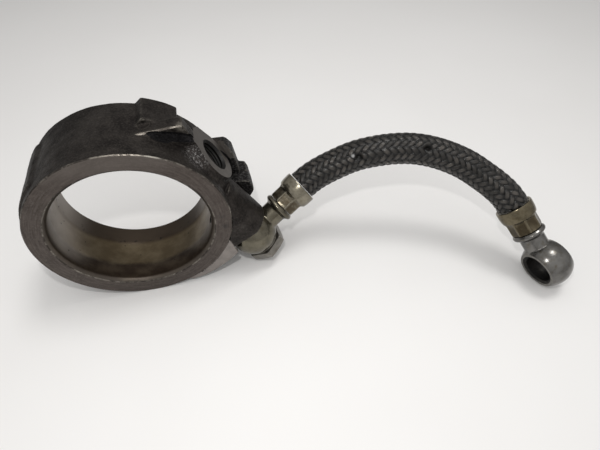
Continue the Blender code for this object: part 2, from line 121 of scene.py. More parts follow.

# %% [markdown]
# ## The free hose's line
# The hose is the one piece that can lie any way, so its line is a list of points chosen on the
# photograph and carried over into space.  A smooth curve through few points bends like a stiff
# hose does; many points would give it kinks.

# %% Hose line
HOSE_ROUTE = [Vector(point) for point in (
    (0.0884, 0.0203, 0.0022),
    (0.1020, 0.0181, 0.0068),
    (0.1171, 0.0149, 0.0080),
    (0.1307, 0.0096, 0.0058),
    (0.1430, 0.0020, 0.0008),
)]
HOSE_LEAD = 0.0015
HOSE_REACH = MOUTH + SEATED_GAP


def smooth_route(count):
    """Points of the hose's line, straight for a moment where it leaves each ferrule."""
    first_way, last_way = RING_NECK, -FREE_NECK
    points = [RING_EYE + RING_NECK * (HOSE_REACH + HOSE_LEAD)] + HOSE_ROUTE
    points.append(FREE_EYE + FREE_NECK * (HOSE_REACH + HOSE_LEAD))
    ways = [(b - a) / 2 for a, b in zip(points, points[2:])]
    ways = ([first_way * (points[1] - points[0]).length] + ways
            + [last_way * (points[-1] - points[-2]).length])
    route = [points[0] - first_way * HOSE_LEAD]
    for step in range(count):
        place = step * (len(points) - 1) / (count - 1)
        i = min(int(place), len(points) - 2)
        t = place - i
        route.append(points[i] * (2 * t**3 - 3 * t**2 + 1) + ways[i] * (t**3 - 2 * t**2 + t)
                     + points[i + 1] * (3 * t**2 - 2 * t**3) + ways[i + 1] * (t**3 - t**2))
    return route + [points[-1] + last_way * HOSE_LEAD]


hose_path = [point + RIG for point in smooth_route(34)]
hose_length = sum((b - a).length for a, b in zip(hose_path, hose_path[1:]))
print("hose line", len(hose_path), "points", round(hose_length * 1000, 1), "mm")

# %% [markdown]
# ## Modelling helpers
# The part is turned, cast, milled and drilled, and the helpers follow those trades.  A
# turned shape is half a section spun round with a Screw modifier.  A slab is a flat outline
# pulled out with Extrude.  A machined surface is a Boolean cut, and the cutter hands its own
# material to the surface it leaves, so a milled face and rough cast skin can share one mesh.


# %% Selecting, applying, cleaning and dressing
WELD = 0.000002


def only(thing):
    """Makes one object the only selected and the active one."""
    bpy.ops.object.select_all(action="DESELECT")
    thing.select_set(True)
    bpy.context.view_layer.objects.active = thing


def apply_step(thing, kind, **settings):
    """Adds one modifier with its settings and applies it."""
    only(thing)
    step = thing.modifiers.new(kind.lower(), kind)
    for key, value in settings.items():
        setattr(step, key, value)
    bpy.ops.object.modifier_apply(modifier=step.name)


def clean(thing, fill=False):
    """Welds seams, drops flat leftovers, fills holes if asked, turns every face outward."""
    only(thing)
    bpy.ops.object.mode_set(mode="EDIT")
    bpy.ops.mesh.select_all(action="SELECT")
    bpy.ops.mesh.remove_doubles(threshold=WELD)
    bpy.ops.mesh.dissolve_degenerate(threshold=WELD)
    bpy.ops.mesh.delete_loose()
    bpy.ops.mesh.select_all(action="SELECT")
    if fill:
        bpy.ops.mesh.fill_holes(sides=0)
        bpy.ops.mesh.select_all(action="SELECT")
    bpy.ops.mesh.normals_make_consistent(inside=False)
    bpy.ops.object.mode_set(mode="OBJECT")


def dress(thing, finish):
    """Gives a whole object one material."""
    thing.data.materials.clear()
    thing.data.materials.append(finish)
    return thing


print("selecting, applying, cleaning and dressing are ready")

# %% [markdown]
# ## Slabs and turned shapes
# Nearly every feature is one of two blanks: a flat outline extruded along a direction, or
# half a section spun round an axis.  Both are drawn flat in their own frame and moved into
# place at the end, which is easier to get right than drawing a tilted circle.


# %% Slabs and turned shapes
def slab(name, outline, low, high, place):
    """Pulls a circle's corners to an (x, y) outline and extrudes it along the frame's Z."""
    bpy.ops.object.select_all(action="DESELECT")
    bpy.ops.mesh.primitive_circle_add(vertices=len(outline), fill_type="NGON")
    thing = bpy.context.object
    thing.name = name
    for vertex, (x, y) in zip(thing.data.vertices, outline):
        vertex.co = (x, y, low)
    bpy.ops.object.mode_set(mode="EDIT")
    bpy.ops.mesh.select_all(action="SELECT")
    bpy.ops.mesh.extrude_region_move(TRANSFORM_OT_translate={"value": (0, 0, high - low)})
    bpy.ops.object.mode_set(mode="OBJECT")
    clean(thing)
    thing.data.transform(place)
    return thing


def turned(name, outline, place, around=128):
    """Turns a closed outline of (radius, height) points round the frame's Z."""
    bpy.ops.object.select_all(action="DESELECT")
    bpy.ops.mesh.primitive_circle_add(vertices=len(outline), fill_type="NOTHING")
    thing = bpy.context.object
    thing.name = name
    for vertex, (radius, height) in zip(thing.data.vertices, outline):
        vertex.co = (radius, 0, height)
    apply_step(thing, "SCREW", steps=around, render_steps=around, use_merge_vertices=True,
               merge_threshold=WELD)
    clean(thing)
    thing.data.transform(place)
    return thing


def cylinder(name, radius, low, high, place, around=128):
    """A plain cylinder between two heights of the frame's Z."""
    outline = [(0, low), (radius, low), (radius, high), (0, high)]
    return turned(name, outline, place, around)


SLAB_FRAME = frame_at(Vector(), DEPTH, Vector((1, 0, 0)))


def bore_slab(name, outline, front, back):
    """A slab whose (x, z) outline runs from one depth in the bore to another.

    The slab frame's own Y points down, so z is turned over.
    """
    return slab(name, [(x, -z) for x, z in outline], front, back, SLAB_FRAME)


def arm_slab(name, outline, front, back):
    """A slab whose (out, down) outline is given along the arm."""
    points = [arm_point(out, 0, down) for out, down in outline]
    return bore_slab(name, [(point.x, point.z) for point in points], front, back)


def arc(centre_x, centre_y, radius, start, end, steps):
    """Points of an arc, angles in degrees."""
    angles = [math.radians(start + (end - start) * i / steps) for i in range(steps + 1)]
    return [(centre_x + radius * math.cos(a), centre_y + radius * math.sin(a))
            for a in angles]


print("slabs and turned shapes are ready")

# %% [markdown]
# ## Cutting, melting and handing over
# A Boolean joins or cuts two solids and keeps each one's material.  The voxel remesh melts
# joined solids into one skin, and clouds push it about by tenths of a millimetre.  A finished
# piece is moved onto the table and shaded, and the drawn solid it stands for is hidden.


# %% Cutting, melting and handing over
def boolean(target, tool, operation="DIFFERENCE", solver="MANIFOLD"):
    """Joins or cuts with another solid, whose material its faces keep."""
    apply_step(target, "BOOLEAN", object=tool, operation=operation, solver=solver,
               material_mode="TRANSFER")
    bpy.data.objects.remove(tool, do_unlink=True)
    return target


def cast_skin(thing, voxel, rounds, waves=()):
    """Melts joined solids into one skin, softens its corners and makes it uneven."""
    apply_step(thing, "REMESH", mode="VOXEL", voxel_size=voxel)
    apply_step(thing, "SMOOTH", factor=0.5, iterations=rounds)
    for size, height in waves:
        cloud = bpy.data.textures.new("cast_waves", "CLOUDS")
        cloud.noise_scale = size
        cloud.noise_depth = 3
        apply_step(thing, "DISPLACE", texture=cloud, strength=height, mid_level=0.5,
                   texture_coords="LOCAL")


def join(name, solids):
    """Joins several meshes into one object."""
    bpy.ops.object.select_all(action="DESELECT")
    for solid in solids:
        solid.select_set(True)
    bpy.context.view_layer.objects.active = solids[0]
    bpy.ops.object.join()
    bpy.context.object.name = name
    return bpy.context.object


def settle(thing, node, angle=35.0):
    """Moves a finished piece onto the table and lets it stand for its CAD node."""
    thing.data.transform(Matrix.Translation(RIG))
    only(thing)
    bpy.ops.object.shade_smooth_by_angle(angle=math.radians(angle))
    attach(thing, "root")
    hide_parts(node)
    print(thing.name, len(thing.data.polygons), "faces, stands for", node)
    return thing


print("cutting and melting are ready")

# %% [markdown]
# ## Shader maths
# A material is a formula, and a formula drawn as fifty loose nodes can't be read.  These two
# small classes let it be written: `radius - 0.03` makes the Math node and wires it up.  All
# patterns use Object coordinates in metres, so a groove in the paint lies on the groove in
# the mesh, and nothing slides when the object is turned.


# %% Shader classes
class Wire:
    """One output socket on which arithmetic makes nodes."""

    def __init__(self, graph, socket):
        self.graph = graph
        self.socket = socket

    def __add__(self, other):
        return self.graph.math("ADD", self, other)

    def __mul__(self, other):
        return self.graph.math("MULTIPLY", self, other)

    def __sub__(self, other):
        return self.graph.math("SUBTRACT", self, other)

    def __rsub__(self, other):
        return self.graph.math("SUBTRACT", other, self)

    def __truediv__(self, other):
        return self.graph.math("DIVIDE", self, other)

    __radd__ = __add__
    __rmul__ = __mul__


class Graph:
    """The nodes of one material, or of the world, and the means to add to them."""

    def __init__(self, owner, place="Object"):
        owner.use_nodes = True
        self.owner = owner
        self.tree = owner.node_tree
        self.place = self.node("ShaderNodeTexCoord", output=place)

    def node(self, kind, settings=None, inputs=None, output=0):
        """Makes any node from its type, settings and socket values."""
        made = self.tree.nodes.new(kind)
        for key, value in (settings or {}).items():
            setattr(made, key, value)
        for key, value in (inputs or {}).items():
            self.feed(made.inputs[key], value)
        return Wire(self, made.outputs[output])

    def feed(self, socket, value):
        """Links a wire into a socket, or sets it to a constant."""
        if isinstance(value, Wire):
            self.tree.links.new(value.socket, socket)
        else:
            socket.default_value = value

    def math(self, operation, first, second=0.0, clamp=False):
        """One Math node, which is what all the arithmetic comes down to."""
        return self.node("ShaderNodeMath", {"operation": operation, "use_clamp": clamp},
                         {0: first, 1: second})

    def axis(self, origin, direction):
        """Distance along a direction from a point, both given in the ring's frame."""
        moved = self.node("ShaderNodeVectorMath", {"operation": "SUBTRACT"},
                          {0: self.place, 1: tuple(origin + RIG)})
        return self.node("ShaderNodeVectorMath", {"operation": "DOT_PRODUCT"},
                         {0: moved, 1: tuple(direction)}, output="Value")

    def length(self, first, second):
        """Length of the vector that has these two parts."""
        return self.math("SQRT", first * first + second * second)

    def far(self, point):
        """Distance from a point given in the ring's frame."""
        return self.node("ShaderNodeVectorMath", {"operation": "DISTANCE"},
                         {0: self.place, 1: tuple(point + RIG)}, output="Value")

    def step(self, value, low, high, start=0.0, end=1.0):
        """Eases from start to end while value goes from low to high."""
        return self.node("ShaderNodeMapRange", {"interpolation_type": "SMOOTHSTEP"},
                         {"Value": value, "From Min": low, "From Max": high,
                          "To Min": start, "To Max": end})

    def noise(self, scale, detail=3.0, rough=0.6, where=None):
        """Cloudy noise, scale in patches per metre, or on coordinates of its own."""
        return self.node("ShaderNodeTexNoise", {},
                         {"Vector": where or self.place, "Scale": scale, "Detail": detail,
                          "Roughness": rough})

    def cells(self, scale):
        """Distance to the nearest of scattered points, so many per metre."""
        return self.node("ShaderNodeTexVoronoi", {}, {"Vector": self.place, "Scale": scale})

    def join(self, x, y, z):
        """Three wires or numbers as one set of coordinates."""
        return self.node("ShaderNodeCombineXYZ", {}, {"X": x, "Y": y, "Z": z})

    def mix(self, factor, first, second):
        """Mixes two colours."""
        return self.node("ShaderNodeMix", {"data_type": "RGBA", "blend_type": "MIX"},
                         {0: factor, 6: first, 7: second}, output=2)

    def attribute(self, name):
        """A value that the mesh stores at each of its corners."""
        return self.node("ShaderNodeAttribute", {"attribute_name": name}, output="Fac")

    def bump(self, height, distance, strength=1.0, below=None):
        """Tilts the normal by a height, on top of another bump if one is given."""
        inputs = {"Height": height, "Distance": distance, "Strength": strength}
        if below:
            inputs["Normal"] = below
        return self.node("ShaderNodeBump", {}, inputs)

    def finish(self, specular=0.5, **sockets):
        """Feeds the Principled shader by socket name and hands back the material."""
        shader = self.tree.nodes["Principled BSDF"]
        for key, value in sockets.items():
            self.feed(shader.inputs[key.replace("_", " ").title()], value)
        shader.inputs["Specular IOR Level"].default_value = specular
        return self.owner


def material(name):
    """Starts a new material's graph."""
    return Graph(bpy.data.materials.new(name))


def grey(value, warm=0.0):
    """A linear grey, warmer or cooler by a small share."""
    return (value * (1 + warm), value, value * (1 - warm), 1)


print("shader classes are ready, a warm grey is", grey(0.02, 0.1))

# %% [markdown]
# ## Cast and machined finishes
# The outer skin is as it left the sand: nearly black, matt, speckled, and rubbed bright where
# corners stand out, with a painted sheen and painted glints beside the port and painted shade on
# the lugs.  Everything the lathe or mill has touched is a warmer grey-brown with fine marks that
# follow the cutter: circles on the near face, rings down the bore.  The bore was run in, and oil
# left it brown and gold in bands across its width.

# %% Sand cast skin
PIN_MARK = Vector((0.0126, 0.0160, 0.0363))
RIDGE_END = Vector((0.0258, 0.0122, 0.0369))
SHEEN_PATCH = Vector((0.0282, 0.0078, 0.0250))
RIM_GLINT = Vector((0.0152, 0, 0.0344))


def cast_material():
    """Cast iron skin: dark patches and grains, bright where it is worn, with painted glints, sheen
    and shade.
    """
    g = material("cast_skin")
    x = g.axis(Vector(), Vector((1, 0, 0)))
    y = g.axis(Vector(), DEPTH)
    grain = g.noise(1500.0, 4.0, 0.75)
    patch = g.noise(110.0, 5.0, 0.65)
    base = g.mix(g.step(patch, 0.36, 0.66), (0.0110, 0.0090, 0.0080, 1),
                 (0.0350, 0.0300, 0.0265, 1))
    base = g.mix(g.step(grain, 0.46, 0.70) * 0.50, base, (0.080, 0.071, 0.064, 1))
    base = g.mix(g.step(grain, 0.44, 0.30) * 0.60, base, (0.005, 0.0043, 0.004, 1))
    # Painted shade: the lugs are painted nearly black.
    lug_shade = g.step(x, 0.0365, 0.0390) * g.step(y, 0.0165, 0.0185)
    base = g.mix(lug_shade * 0.85, base, (0.0055, 0.0050, 0.0052, 1))
    # The skin beside the port is coarse, with a painted sheen and painted glints in specks; the
    # lugs get painted glints too.
    coarse = g.noise(1350.0, 3.0, 0.8)
    painted_sheen = g.step(g.far(SHEEN_PATCH), 0.0068, 0.0016)
    base = g.mix(painted_sheen * 0.30, base, (0.060, 0.054, 0.052, 1))
    painted_glints = g.math("MAXIMUM", painted_sheen, lug_shade * 0.28) * g.step(coarse, 0.50, 0.60)
    base = g.mix(painted_glints * 0.8, base, (0.30, 0.29, 0.285, 1))
    # A round pin left a shallow mark in front of the pad.
    pin = g.step(g.math("ABSOLUTE", g.far(PIN_MARK) - 0.0023), 0.00035, 0.00008)
    base = g.mix(pin * g.step(coarse, 0.42, 0.56) * 0.35, base, (0.10, 0.09, 0.08, 1))
    ridge = g.step(g.far(RIDGE_END), 0.0034, 0.0008) * g.step(g.noise(420.0, 3.0, 0.7), 0.40, 0.62)
    worn = g.attribute("wear") * g.step(g.noise(620.0, 3.0, 0.7), 0.32, 0.60)
    rubbed = g.math("MAXIMUM", worn * 0.8, ridge * 0.6, clamp=True)
    base = g.mix(rubbed, base, (0.27, 0.25, 0.215, 1))
    height = grain * 0.7 + coarse * 0.5 + painted_glints * 1.2 + pin * -1.0
    orange_peel = g.bump(g.noise(430.0, 3.0, 0.6), 0.00035, 0.8)
    return g.finish(base_color=base, roughness=g.step(patch, 0.3, 0.75, 0.62, 0.48) - rubbed * 0.10,
                    metallic=0.75, specular=0.3,
                    normal=g.bump(height, 0.00016, 0.8, below=orange_peel))


CAST = cast_material()
print("made", CAST.name)

# %% [markdown]
# ## Scooped hollows
# Two hollows beside the port lie in shade, and the shade is painted: they take a blue black,
# sandy, rougher skin of their own, which their cutters will hand over.


# %% Scooped hollows
def shaded_material():
    """Painted shade for the hollows: a blue black sandy skin."""
    g = material("painted_shade_skin")
    grain = g.noise(1500.0, 4.0, 0.8)
    base = g.mix(g.step(grain, 0.40, 0.62), (0.006, 0.0055, 0.006, 1), (0.020, 0.019, 0.020, 1))
    base = g.mix(g.step(grain, 0.63, 0.72) * 0.5, base, (0.11, 0.105, 0.105, 1))
    return g.finish(base_color=base, roughness=g.step(grain, 0.3, 0.7, 0.8, 0.6), metallic=0.6,
                    specular=0.2, normal=g.bump(grain, 0.00024, 0.8))


SHADED = shaded_material()
print("made", SHADED.name)

# %% [markdown]
# ## The turned near face
# A lathe leaves rings round the bore axis.  Noise read along the radius alone makes them,
# and noise on radius and angle together breaks them into streaks.


# %% Turned near face
def turned_material():
    """A turned face: fine rings, streaks, pits and two bruises."""
    g = material("turned_face")
    x = g.axis(Vector(), Vector((1, 0, 0)))
    z = g.axis(Vector(), Vector((0, 0, 1)))
    radius = g.length(x, z)
    marks = g.noise(1.0, 2.0, 0.5, where=g.join(radius * 5200.0, 0.0, 0.0))
    angle = g.math("ARCTAN2", z, x)
    streak = g.noise(1.0, 3.0, 0.6, where=g.join(radius * 1400.0, angle * 5.0, 0.0))
    patch = g.noise(140.0, 4.0, 0.6)
    base = g.mix(g.step(streak, 0.3, 0.7), (0.056, 0.045, 0.039, 1), (0.096, 0.080, 0.071, 1))
    base = g.mix(g.step(patch, 0.46, 0.70) * 0.60, base, (0.042, 0.033, 0.028, 1))
    fine = g.noise(1300.0, 3.0, 0.7)
    base = g.mix(g.step(fine, 0.50, 0.68) * 0.35, base, (0.145, 0.125, 0.112, 1))
    # Painted light: the face is painted lighter towards its top.
    base = g.mix(g.step(z, 0.026, 0.034) * 0.5, base, (0.135, 0.118, 0.106, 1))
    pits = g.step(g.cells(420.0), 0.13, 0.06) * g.step(g.noise(300.0, 2.0, 0.5), 0.5, 0.62)
    # Two dark bruises on the right side of the face.
    bruise = g.math("MAXIMUM", g.step(g.far(Vector((0.0337, 0, 0.0020))), 0.0024, 0.0006),
                    g.step(g.far(Vector((0.0344, 0, -0.0046))), 0.0020, 0.0004))
    dark = g.math("MAXIMUM", pits * 0.7, bruise * g.step(patch, 0.35, 0.60) * 0.5)
    base = g.mix(dark, base, grey(0.022))
    return g.finish(base_color=base, roughness=g.step(patch, 0.3, 0.7, 0.52, 0.40),
                    metallic=0.75, normal=g.bump(marks + fine * 0.6 + pits * -1.5, 0.00003, 0.6))


TURNED = turned_material()
print("made", TURNED.name)

# %% [markdown]
# ## The run bore
# Across the bore's width the colour goes from brown through gold to brown, as hot oil dried
# on it, and up the sides it is painted lighter and greyer, a painted sheen.  The bands are
# steps on the depth, smeared a little by noise so that no edge is straight.


# %% Run bore
def bore_material():
    """The bore: bands of dried oil by depth, with stains at the groove's edge."""
    g = material("run_bore")
    x = g.axis(Vector(), Vector((1, 0, 0)))
    y = g.axis(Vector(), DEPTH)
    z = g.axis(Vector(), Vector((0, 0, 1)))
    angle = g.math("ARCTAN2", z, x)
    rings = g.noise(1.0, 3.0, 0.6, where=g.join(y * 5200.0, angle * 1.2, 0.0))
    smear = g.noise(1.0, 4.0, 0.6, where=g.join(y * 160.0, angle * 3.5, 0.0))
    y_soft = y + (smear - 0.5) * 0.0030
    gold = g.step(y_soft, 0.0075, 0.0105) * g.step(y_soft, 0.0222, 0.0195)
    front = g.mix(g.step(smear, 0.35, 0.65), (0.031, 0.020, 0.013, 1), (0.062, 0.046, 0.031, 1))
    middle = g.mix(g.step(smear, 0.35, 0.70), (0.098, 0.073, 0.042, 1), (0.146, 0.115, 0.072, 1))
    base = g.mix(gold, front, middle)
    base = g.mix(g.step(y_soft, 0.0205, 0.0235) * 0.85, base, (0.050, 0.037, 0.026, 1))
    base = g.mix(g.step(y, 0.0022, 0.0006) * 0.5, base, (0.110, 0.098, 0.086, 1))
    # Painted sheen: the bore is painted lighter and greyer up its sides than low down.
    side_sheen = g.step(z, -0.0215, -0.0040) * g.step(y, 0.0012, 0.0045)
    base = g.mix(side_sheen * 0.80, base, (0.240, 0.215, 0.190, 1))
    stain = g.noise(1.0, 4.0, 0.7, where=g.join(y * 300.0, angle * 9.0, 3.0))
    edges = g.step(g.math("ABSOLUTE", y - 0.0226), 0.0020, 0.0004)
    base = g.mix(g.step(stain, 0.56, 0.66) * edges * 0.85, base, (0.012, 0.009, 0.007, 1))
    pits = g.step(g.cells(230.0), 0.10, 0.05)
    base = g.mix(pits * 0.8, base, (0.006, 0.005, 0.004, 1))
    return g.finish(base_color=base, roughness=g.step(smear, 0.3, 0.7, 0.44, 0.34),
                    metallic=0.8, normal=g.bump(rings + pits * -2.0, 0.00002, 0.5))


BORE = bore_material()
print("made", BORE.name)

# %% [markdown]
# ## Milled faces, holes in painted shade and rubbed rims
# The port's land and the seat under the banjo were milled, which leaves arcs round the tool's
# centre; the web's front takes the same arcs under a light grey, a painted reflection of the
# bright table.  Holes are painted near black, painted shade for their depth, with a wet-looking
# film.  Rims were rubbed by handling, so they are bright in patches.


# %% Milled faces, holes in painted shade and rubbed rims
def milled_material(name, origin, colour, roughness):
    """A face cut flat: grey, with arcs round the tool's centre."""
    g = material(name)
    arcs = g.noise(1.0, 2.0, 0.5, where=g.join(g.far(origin) * 4200.0, 0.0, 0.0))
    patch = g.noise(260.0, 3.0, 0.6)
    light = tuple(value * 1.5 for value in colour[:3]) + (1,)
    base = g.mix(g.step(patch, 0.3, 0.7) * 0.6 + arcs * 0.3, colour, light)
    return g.finish(base_color=base, roughness=roughness, metallic=0.75,
                    normal=g.bump(arcs, 0.00003, 0.5))


def hole_material():
    """A hole painted near black, as painted shade, with a wet-looking film."""
    g = material("hole_painted_shade")
    film = g.noise(420.0, 3.0, 0.6)
    base = g.mix(g.step(film, 0.4, 0.65), grey(0.0035, 0.1), grey(0.012, 0.15))
    return g.finish(base_color=base, roughness=g.step(film, 0.3, 0.7, 0.60, 0.35),
                    metallic=0.5, normal=g.bump(film, 0.00008, 0.6))


def rim_material():
    """An edge rubbed bright in patches, with a painted glint at the top of the rim."""
    g = material("rubbed_rim")
    rub = g.noise(240.0, 4.0, 0.7)
    base = g.mix(g.step(rub, 0.42, 0.66), (0.045, 0.039, 0.034, 1), (0.21, 0.19, 0.165, 1))
    # A painted glint of the lamp at the top of the rim.
    base = g.mix(g.step(g.far(RIM_GLINT), 0.0040, 0.0006) * 0.8, base, (0.34, 0.32, 0.285, 1))
    return g.finish(base_color=base, roughness=g.step(rub, 0.3, 0.7, 0.48, 0.32),
                    metallic=0.9, normal=g.bump(rub, 0.00004, 0.6))


MILLED = milled_material("milled_port", arm_point(PORT_OUT, PORT_DEPTH, PORT_DOWN),
                         (0.078, 0.070, 0.063, 1), 0.50)
SPOT = milled_material("spot_face", arm_point(BOLT_OUT, BOLT_DEPTH, SEAT_DOWN),
                       (0.10, 0.095, 0.085, 1), 0.42)
# The web's front is painted light grey, a painted reflection of the bright table.
WEB_REFLECTION = milled_material("web_painted_reflection", arm_point(0, 0, 0.060), (0.190, 0.172, 0.160, 1), 0.46)
# Holes are painted near black, as painted shade.
HOLE = hole_material()
RIM = rim_material()
print("made", [finish.name for finish in (MILLED, SPOT, WEB_REFLECTION, HOLE, RIM)])

# %% [markdown]
# ## The casting's rough shape
# Ring, arm, bolt boss, port boss, pads and lugs are simple solids laid into one another and
# then melted with a voxel remesh.  Smoothing the melted skin gives every inner corner the
# fillet and every outer corner the soft edge that a sand casting has, which bevelling edge
# by edge could not do where five solids meet.

# %% Rough casting
WALL = 0.0335
SETBACK = 0.0006
RAW_STOCK = 0.0012
RAW_BACK = RING_WIDTH + RAW_STOCK
CAST_VOXEL = 0.0004
SQUARE = [(-0.08, -0.08), (0.08, -0.08), (0.08, 0.08), (-0.08, 0.08)]
boss = cylinder("boss", 0.0110, 0.012, 0.0370, BOLT_FRAME)
boolean(boss, slab("boss_front", SQUARE, -0.02, SETBACK, SLAB_FRAME))
solids = [
    cylinder("wall", RING_RADIUS, -RAW_STOCK, RAW_BACK, BORE_FRAME, around=192),
    boss,
    arm_slab("arm", [(0.0200, 0.0020), (0.0310, 0.0030), (0.0325, 0.0120),
                     (0.0306, 0.0380), (0.0215, 0.0380), (0.0150, 0.0280)], SETBACK, 0.0190),
    arm_slab("web", [(-0.0085, 0.0360), (-0.0040, 0.0397), (0.0010, 0.0412),
                     (0.0060, 0.0416), (0.0140, 0.0410), (0.0200, 0.0395),
                     (0.0225, 0.0340), (0.0160, 0.0280), (0.0000, 0.0320)], SETBACK, 0.0185),
]
port_outline = arc(0, 0, 0.0103, 110, -140, 40) + [
    (-0.0112, -0.0037), (-0.0121, -0.0011), (-0.0116, 0.0048), (-0.0090, 0.0086)]
solids.append(slab("port_boss", port_outline, WALL, PORT_OUT + 0.0008, PORT_FRAME))
solids.append(turned("port_skirt", [(0, 0.0300), (0.0170, 0.0300), (0.0150, 0.0335),
                                    (0.0112, 0.0385), (0, 0.0385)], PORT_FRAME))
wedge_outline = [(0.0000, WALL), (0.0095, 0.0360), (0.0257, 0.0371), (0.0290, 0.0297),
                 (0.0257, 0.0220)]
solids.append(bore_slab("wedge", wedge_outline, 0.0115, 0.0175))
print("rough solids", [solid.name for solid in solids])

# %% [markdown]
# ## Lands and lugs
# The low lands on the ring's wall follow its curve, so they are given by angle and radius.
# The lugs behind the port are plain outlines seen along the bore.


# %% Lands and lugs
def rim_land(name, rim, front, back):
    """A land standing off the ring's wall along (degrees, radius) points."""
    inner = [(rim[-1][0], WALL), (rim[0][0], WALL)]
    points = []
    for (angle, radius), (next_angle, next_radius) in zip(rim, rim[1:]):
        for i in range(4):
            points.append((angle + (next_angle - angle) * i / 4,
                           radius + (next_radius - radius) * i / 4))
    outline = [(radius * math.cos(math.radians(angle)), radius * math.sin(math.radians(angle)))
               for angle, radius in inner + points + [rim[-1]]]
    return bore_slab(name, outline, front, back)


solids += [
    rim_land("pad", [(51.0, 0.0340), (53.5, 0.0401), (60.0, 0.0403), (72.5, 0.0403),
                     (75.5, 0.0370)], 0.0165, RAW_BACK),
    rim_land("side_land", [(131.0, 0.0370), (137.0, 0.0385), (150.0, 0.0385),
                           (162.0, 0.0385), (172.0, 0.0380), (184.0, 0.0370)],
             0.0045, 0.0270),
    bore_slab("upper_lug", [(0.0330, 0.0163), (0.0395, 0.0162), (0.0407, 0.0154),
                            (0.0425, 0.0128), (0.0431, 0.0091), (0.0443, 0.0023),
                            (0.0400, -0.0040), (0.0330, 0.0050)], 0.0225, RAW_BACK),
    bore_slab("lower_lug", [(0.0380, 0.0050), (0.0454, 0.0021), (0.0469, 0.0018),
                            (0.0480, -0.0006), (0.0493, -0.0084), (0.0493, -0.0100),
                            (0.0487, -0.0115), (0.0475, -0.0134), (0.0474, -0.0148),
                            (0.0400, -0.0170), (0.0340, -0.0150)], 0.0240, RAW_BACK),
    bore_slab("lug_pad", [(0.0385, 0.0022), (0.0450, 0.0015), (0.0471, 0.0008),
                          (0.0485, -0.0020), (0.0486, -0.0040), (0.0474, -0.0060),
                          (0.0466, -0.0084), (0.0390, -0.0090)], 0.0180, 0.0260),
]
casting = dress(join("cast_ring", solids), CAST)
cast_skin(casting, CAST_VOXEL, 3, [(0.0060, 0.00025), (0.0016, 0.00010)])
print("rough casting", len(casting.data.polygons), "faces")

# %% [markdown]
# ## Machining the casting
# The same cuts as in the workshop: face the near and far sides, break the rim's edge, bore
# the middle, mill the port's land, sink the spot face under the banjo and drill the holes.
# Each cutter carries the finish of the surface it leaves.

# %% Facing and boring
def machine(tool, finish):
    """Cuts the casting with a tool that leaves its own finish behind."""
    name = tool.name
    boolean(casting, dress(tool, finish))
    slots = [slot.material for slot in casting.material_slots]
    left = sum(slots[face.material_index] == finish for face in casting.data.polygons)
    print("cut", name, "leaves", left, "faces of", finish.name)


machine(slab("facing", SQUARE, -0.02, 0.0, SLAB_FRAME), TURNED)
machine(slab("far_facing", SQUARE, RING_WIDTH, 0.05, SLAB_FRAME), TURNED)
EDGE = 0.00035
machine(turned("rim_edge", [(RING_RADIUS - EDGE - 0.0003, -0.0003),
                            (RING_RADIUS + 0.0001, -0.0003),
                            (RING_RADIUS + 0.0001, EDGE + 0.0001)], BORE_FRAME, around=256),
        RIM)
bore_outline = [(0, -0.001), (0.0319, -0.001), (0.0309, 0.0), (0.0298, 0.0011),
                (BORE_RADIUS, 0.0018), (BORE_RADIUS, 0.0078), (0.0296, 0.0084), (0.0298, 0.0096),
                (0.0299, 0.0104), (0.0299, 0.0200), (0.0298, 0.0206), (0.0296, 0.0214),
                (BORE_RADIUS, 0.0219), (BORE_RADIUS, 0.0297),
                (0.0303, 0.0305), (0.0303, 0.032), (0, 0.032)]
machine(turned("bore", bore_outline, BORE_FRAME, around=256), BORE)
machine(turned("mouth_edge", [(0.0304, -0.0005), (0.0312, -0.0005), (0.0312, -0.0001),
                              (0.0306, 0.0003), (0.0304, 0.0004)], BORE_FRAME, around=256),
        RIM)

# %% [markdown]
# ## Web, port and bolt seat
# The web between ring and arm gets a front face, clear of the ring's own edge, painted light
# grey as a painted reflection of the bright table.  The port's land and the seat under the
# banjo are milled square to their holes.

# %% Web, port and bolt seat
web_face = arm_slab("web_face", [(-0.0150, 0.0290), (0.0224, 0.0300), (0.0214, 0.0340),
                                 (0.0198, 0.0391), (0.0190, 0.0460), (-0.0150, 0.0460)],
                    -0.02, 0.0008)
boolean(web_face, cylinder("ring_kept", RING_RADIUS + 0.0001, -0.03, 0.01, BORE_FRAME,
                           around=256))
# The web's front gets the painted reflection.
machine(web_face, WEB_REFLECTION)
machine(slab("port_facing", arc(0, 0, 0.0128, 0, 360, 64)[:-1], PORT_OUT, PORT_OUT + 0.002,
             PORT_FRAME), MILLED)
machine(cylinder("port_spot", 0.0108, PORT_OUT + 0.0003, 0.060, PORT_FRAME), MILLED)
machine(cylinder("spot", 0.0113, SEAT_DOWN, 0.052, BOLT_FRAME), SPOT)
machine(cylinder("bolt_hole", HOLE_RADIUS, 0.0241, 0.052, BOLT_FRAME), HOLE)

# %% [markdown]
# ## Feed drilling and port thread
# Oil reaches the bore through a drilling at its side.  The port's thread is a turned section
# with plain grooves, which look much like a true screw at this size.

